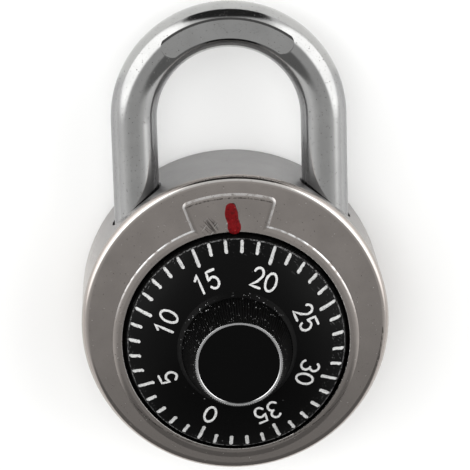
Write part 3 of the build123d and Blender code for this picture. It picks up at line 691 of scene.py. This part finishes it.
@dataclass
class DialFigures:
    """The dial's white lines and numbers, wiped into its domed face."""

    divisions: int = 40
    reading: float = 17.5
    numbered_every: int = 5
    tick_outer_mm: float = 16.8
    long_tick_mm: float = 2.75
    short_tick_mm: float = 1.85
    tick_width_mm: float = 0.5
    tick_steps: int = 6
    paint_mm: float = 0.05
    number_radius_mm: float = 11.75
    number_height_mm: float = 2.9
    digit_width_mm: float = 1.68
    digit_step_mm: float = 2.2
    stroke_mm: float = 0.34
    ragged_mm: float = 0.038
    smooth_deg: float = 50.0
    arc_least: int = 4
    arc_step_deg: float = 15.0
    brush: Brush = Brush()
    pieces: list[bpy.types.Object] = field(default_factory=list)

    def angle_of(self, number: float) -> float:
        """The angle of a division about the dial's axis, from +X, in radians."""
        return math.radians(90 + (self.reading - number) * 360 / self.divisions)

    def strokes_of(self, digit: str) -> list[list[Point]]:
        """The centre lines of a digit.

        Args:
            digit: One of the figures that the dial needs.

        Returns:
            Lines of points, with x from -0.5 to 0.5 of the width and y from 0 to 1 of the height.
        """

        def arc(cx: float, cy: float, rx: float, ry: float, start: float, end: float) -> list[Point]:
            """Points along part of an ellipse.

            Args:
                cx: The centre's x.
                cy: The centre's y.
                rx: The reach along x.
                ry: The reach along y.
                start: The angle of the first point, in degrees.
                end: The angle of the last point, in degrees.

            Returns:
                The points in order.
            """
            count = max(self.arc_least, int(abs(end - start) / self.arc_step_deg))
            turns = [math.radians(start + (end - start) * i / count) for i in range(count + 1)]
            return [(cx + rx * math.cos(t), cy + ry * math.sin(t)) for t in turns]

        shapes = {
            "0": [arc(0, 0.475, 0.49, 0.475, 90, 450)],
            "1": [[(-0.26, 0.76), (-0.05, 0.88), (0.08, 1.0), (0.08, 0.5), (0.08, 0.0)]],
            "2": [arc(0, 0.71, 0.42, 0.29, 165, -20) + [(0.1, 0.3), (-0.46, 0.0), (0.0, 0.0), (0.48, 0.0)]],
            "3": [arc(-0.02, 0.75, 0.4, 0.25, 150, -80) + arc(-0.02, 0.26, 0.45, 0.26, 80, -150)],
            "5": [
                [(0.42, 0.93), (0.0, 0.93), (-0.32, 0.93), (-0.37, 0.7), (-0.42, 0.5)]
                + arc(0, 0.3, 0.44, 0.3, 128, -150)
            ],
        }
        return shapes[digit]

    def tick(self, number: int) -> bpy.types.Object:
        """Make one division line as a sheet above the dial.

        Args:
            number: Which division it marks.

        Returns:
            The sheet.
        """
        turn = self.angle_of(number)
        length = self.short_tick_mm if number % self.numbered_every else self.long_tick_mm
        half = self.tick_width_mm / 2
        steps = self.tick_steps
        reach = [self.tick_outer_mm - half - (length - 2 * half) * i / steps for i in range(steps + 1)]
        line = [(r * math.cos(turn), DIAL_AXIS_Y_MM + r * math.sin(turn), half) for r in reach]
        return self.brush.sheet(f"tick_{number:02d}", [line])

    def number(self, number: int) -> bpy.types.Object:
        """Make one number as a sheet above the dial, with its top towards the dial's edge.

        Args:
            number: The value that it shows.

        Returns:
            The sheet.
        """
        turn = self.angle_of(number)
        out = Vector((math.cos(turn), math.sin(turn)))
        right = Vector((out.y, -out.x))
        text = str(number)
        lines = []
        for place, digit in enumerate(text):
            shift = (place - (len(text) - 1) / 2) * self.digit_step_mm
            for stroke in self.strokes_of(digit):
                points = [
                    Vector(DIAL_AXIS_MM)
                    + out * (self.number_radius_mm + (y - 0.5) * self.number_height_mm)
                    + right * (shift + x * self.digit_width_mm)
                    for x, y in stroke
                ]
                lines.append([(p.x, p.y, self.stroke_mm / 2) for p in points])
        return self.brush.sheet(f"number_{number:02d}", lines)

    def lay_on_dial(self, piece: bpy.types.Object) -> None:
        """Drop a sheet onto the dial's face, and give it the paint's thickness and a ragged edge.

        Args:
            piece: The sheet above the dial.
        """
        select_only(piece)
        drop = piece.modifiers.new("drop", "SHRINKWRAP")
        drop.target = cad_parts["dial"]
        drop.wrap_method = "PROJECT"
        drop.use_project_x = False
        drop.use_project_y = False
        drop.use_project_z = True
        drop.use_negative_direction = True
        drop.use_positive_direction = False
        drop.offset = self.paint_mm / 2 * MM
        bpy.ops.object.modifier_apply(modifier="drop")
        bpy.ops.object.mode_set(mode="EDIT")
        bpy.ops.mesh.select_all(action="SELECT")
        bpy.ops.transform.vertex_random(offset=self.ragged_mm * MM, seed=len(piece.data.vertices))
        bpy.ops.object.mode_set(mode="OBJECT")
        wall = piece.modifiers.new("wall", "SOLIDIFY")
        wall.thickness = self.paint_mm * MM
        wall.offset = 0.0
        bpy.ops.object.modifier_apply(modifier="wall")
        bpy.ops.object.shade_smooth_by_angle(angle=math.radians(self.smooth_deg))

    def build(self) -> None:
        """Make every division line and every number, and lay them on the dial."""
        self.pieces = [self.tick(number) for number in range(self.divisions)]
        self.pieces += [self.number(number) for number in range(0, self.divisions, self.numbered_every)]
        for piece in self.pieces:
            self.lay_on_dial(piece)

    def dress(self) -> None:
        """Give the figures their paint and let them turn with the dial."""
        material = WHITE_FILL.build()
        for piece in self.pieces:
            paint(piece, material)
            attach(piece, "dial")


@dataclass
class IndexEnamel:
    """The red index: a thick uneven run of enamel in the stamped slot."""

    spine_mm: tuple[Triple, ...] = (
        (-0.28, 18.9, 0.84),
        (-0.25, 18.3, 1.0),
        (-0.16, 17.6, 1.02),
        (-0.02, 17.0, 0.9),
        (0.1, 16.5, 0.92),
        (0.17, 16.1, 1.04),
        (0.2, 15.8, 1.06),
    )
    floor_mm: float = 17.5
    crown: float = 0.16
    ragged_mm: float = 0.05
    seed: int = 7
    brush: Brush = Brush(segments=6)
    piece: bpy.types.Object | None = None

    @property
    def pieces(self) -> list[bpy.types.Object]:
        """The run of enamel, as a list of one."""
        return [self.piece]

    def build(self) -> None:
        """Make the run of enamel on the floor of the stamped window."""
        self.piece = self.brush.sheet("index_enamel", [list(self.spine_mm)])
        bpy.ops.object.mode_set(mode="EDIT")
        bpy.ops.mesh.select_all(action="SELECT")
        level = self.brush.level_mm * MM
        bpy.ops.transform.resize(value=(1, 1, self.crown), center_override=(0, 0, level))
        bpy.ops.transform.translate(value=(0, 0, self.floor_mm * MM - level))
        bpy.ops.mesh.subdivide(number_cuts=2)
        bpy.ops.transform.vertex_random(offset=self.ragged_mm * MM, seed=self.seed)
        bpy.ops.mesh.vertices_smooth(factor=0.4, repeat=1)
        bpy.ops.object.mode_set(mode="OBJECT")
        bpy.ops.object.shade_smooth()

    def dress(self) -> None:
        """Give the enamel its red, put it in the plain mark's place and let it stay with the drum."""
        paint(self.piece, RED_ENAMEL.build())
        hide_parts("index_mark")
        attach(self.piece, "case")


@dataclass
class CadFinishes:
    """The finishes of the pieces that come ready made."""

    finishes: dict[str, Finish] = field(default_factory=lambda: dict(NODE_FINISHES))
    plain: Finish = MILL_STEEL
    made: dict[str, bpy.types.Material] = field(default_factory=dict)
    pieces: list[bpy.types.Object] = field(default_factory=list)

    def build(self) -> None:
        """Take up the ready pieces, and make one material of each finish that they need."""
        self.pieces = list(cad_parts.values())
        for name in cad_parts:
            finish = self.finishes.get(name, self.plain)
            if finish.name not in self.made:
                self.made[finish.name] = finish.build()

    def dress(self) -> None:
        """Put each node's finish on it."""
        for name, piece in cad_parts.items():
            paint(piece, self.made[self.finishes.get(name, self.plain).name])


@dataclass(frozen=True)
class PhotoCamera:
    """The camera, as fitted to the photograph."""

    focal_px: float = 2718.24
    frame_px: int = 470
    sensor_mm: float = 36.0
    distance_mm: float = 425.07
    tilt_deg: float = 16.065
    azimuth_deg: float = 1.759
    roll_deg: float = -1.562
    target_mm: Triple = (0.438, 13.026, 12.0)
    clip_m: float = 0.01

    def build(self) -> None:
        """Place the camera."""
        tilt, azimuth, roll = (math.radians(a) for a in (self.tilt_deg, self.azimuth_deg, self.roll_deg))
        back = Vector(
            (-math.sin(azimuth), math.sin(tilt) * math.cos(azimuth), math.cos(tilt) * math.cos(azimuth))
        ).normalized()
        level = (-back).cross(Vector((0, 1, 0))).normalized()
        upright = level.cross(-back)
        right = level * math.cos(roll) + upright * math.sin(roll)
        up = upright * math.cos(roll) - level * math.sin(roll)
        place = (Vector(self.target_mm) + back * self.distance_mm) * MM
        data = bpy.data.cameras.new("camera")
        data.sensor_width = self.sensor_mm
        data.lens = self.focal_px / self.frame_px * self.sensor_mm
        data.clip_start = self.clip_m
        camera = bpy.data.objects.new("camera", data)
        camera.matrix_world = Matrix.Translation(place) @ Matrix((right, up, back)).transposed().to_4x4()
        bpy.context.scene.collection.objects.link(camera)
        bpy.context.scene.camera = camera


@dataclass(frozen=True)
class Glow:
    """A round soft part of the room that is brighter or darker than the rest."""

    azimuth_deg: float
    elevation_deg: float
    inner_deg: float
    outer_deg: float
    light: float

    def add(self, tree: Tree, way: Socket, colour: Socket) -> Socket:
        """Lay this part over the room's colour.

        Args:
            tree: The world's nodes.
            way: The direction that is looked in.
            colour: The room's colour so far.

        Returns:
            The colour with this part in it.
        """
        turn, rise = math.radians(self.azimuth_deg), math.radians(self.elevation_deg)
        aim = (math.cos(turn) * math.cos(rise), math.sin(turn) * math.cos(rise), math.sin(rise))
        near = vector_math(tree, "DOT_PRODUCT", way, aim).outputs["Value"]
        sets = {
            "interpolation_type": "SMOOTHSTEP",
            1: math.cos(math.radians(self.outer_deg)),
            2: math.cos(math.radians(self.inner_deg)),
        }
        share = add_node(tree, "ShaderNodeMapRange", sets, {0: near}).outputs[0]
        return lay_over(tree, colour, grey(self.light), share)


@dataclass(frozen=True)
class SoftLight:
    """One rectangular soft light, which gives no glare on metal."""

    name: str
    place_mm: Triple
    size_mm: Point
    watts: float
    aim_mm: Triple = (0.0, 10.0, 10.0)

    def build(self) -> None:
        """Place the light, turned to its aim."""
        data = bpy.data.lights.new(self.name, "AREA")
        data.shape = "RECTANGLE"
        data.size, data.size_y = (s * MM for s in self.size_mm)
        data.energy = self.watts
        lamp = bpy.data.objects.new(self.name, data)
        lamp.location = Vector(self.place_mm) * MM
        aim = Vector(self.aim_mm) - Vector(self.place_mm)
        lamp.rotation_euler = aim.to_track_quat("-Z", "Y").to_euler()
        lamp.visible_glossy = False
        lamp.visible_camera = False
        bpy.context.scene.collection.objects.link(lamp)


@dataclass
class Studio:
    """A pale paper floor under a soft overhead light, in a room with a bright window on either side."""

    floor_mm: float = 6000.0
    overhead: SoftLight = SoftLight("overhead", (-150, 250, 1300), (900, 900), watts=7.0)
    wall: float = 1.0
    wall_rise: float = 0.45
    ceiling: float = 0.58
    ceiling_rise: float = 0.92
    backdrop: float = 1.0
    glows: tuple[Glow, ...] = (
        Glow(272, 31, inner_deg=36.5, outer_deg=43.5, light=0.19),
        Glow(152, 27, inner_deg=24, outer_deg=38, light=2.3),
        Glow(20, 28, inner_deg=22, outer_deg=36, light=2.3),
        Glow(88, 14, inner_deg=24, outer_deg=31, light=0.03),
    )

    def room(self) -> None:
        """Make the room's light, as a gradient by direction."""
        world = bpy.data.worlds.new("room")
        world.use_nodes = True
        bpy.context.scene.world = world
        tree = world.node_tree
        way = add_node(tree, "ShaderNodeTexCoord").outputs["Generated"]
        rise = add_node(tree, "ShaderNodeSeparateXYZ", links={0: way}).outputs["Z"]
        colour = ramp(tree, rise, self.wall_rise, self.ceiling_rise, self.wall, self.ceiling)
        for glow in self.glows:
            colour = glow.add(tree, way, colour)
        seen = add_node(tree, "ShaderNodeLightPath").outputs["Is Camera Ray"]
        colour = lay_over(tree, colour, grey(self.backdrop), seen)
        tree.links.new(colour, tree.nodes["Background"].inputs["Color"])

    def build(self) -> None:
        """Make the floor, the overhead light and the room."""
        bpy.ops.object.select_all(action="DESELECT")
        bpy.ops.mesh.primitive_plane_add(size=self.floor_mm * MM, location=(0, 0, 0))
        floor = bpy.context.active_object
        floor.name = "paper_floor"
        paint(floor, STUDIO_PAPER.build())
        self.overhead.build()
        self.room()
        bpy.context.scene.view_settings.view_transform = "Standard"


def main() -> None:
    """Dress the lock, report each piece and set up the studio."""
    logging.basicConfig(level=logging.INFO)
    PhotoCamera().build()
    for assembly in (CadFinishes(), DialFigures(), IndexEnamel()):
        assembly.build()
        assembly.dress()
        for piece in assembly.pieces:
            LOG.info("%s: %s", type(assembly).__name__, piece.name)
    Studio().build()


if __name__ == "__main__":
    main()
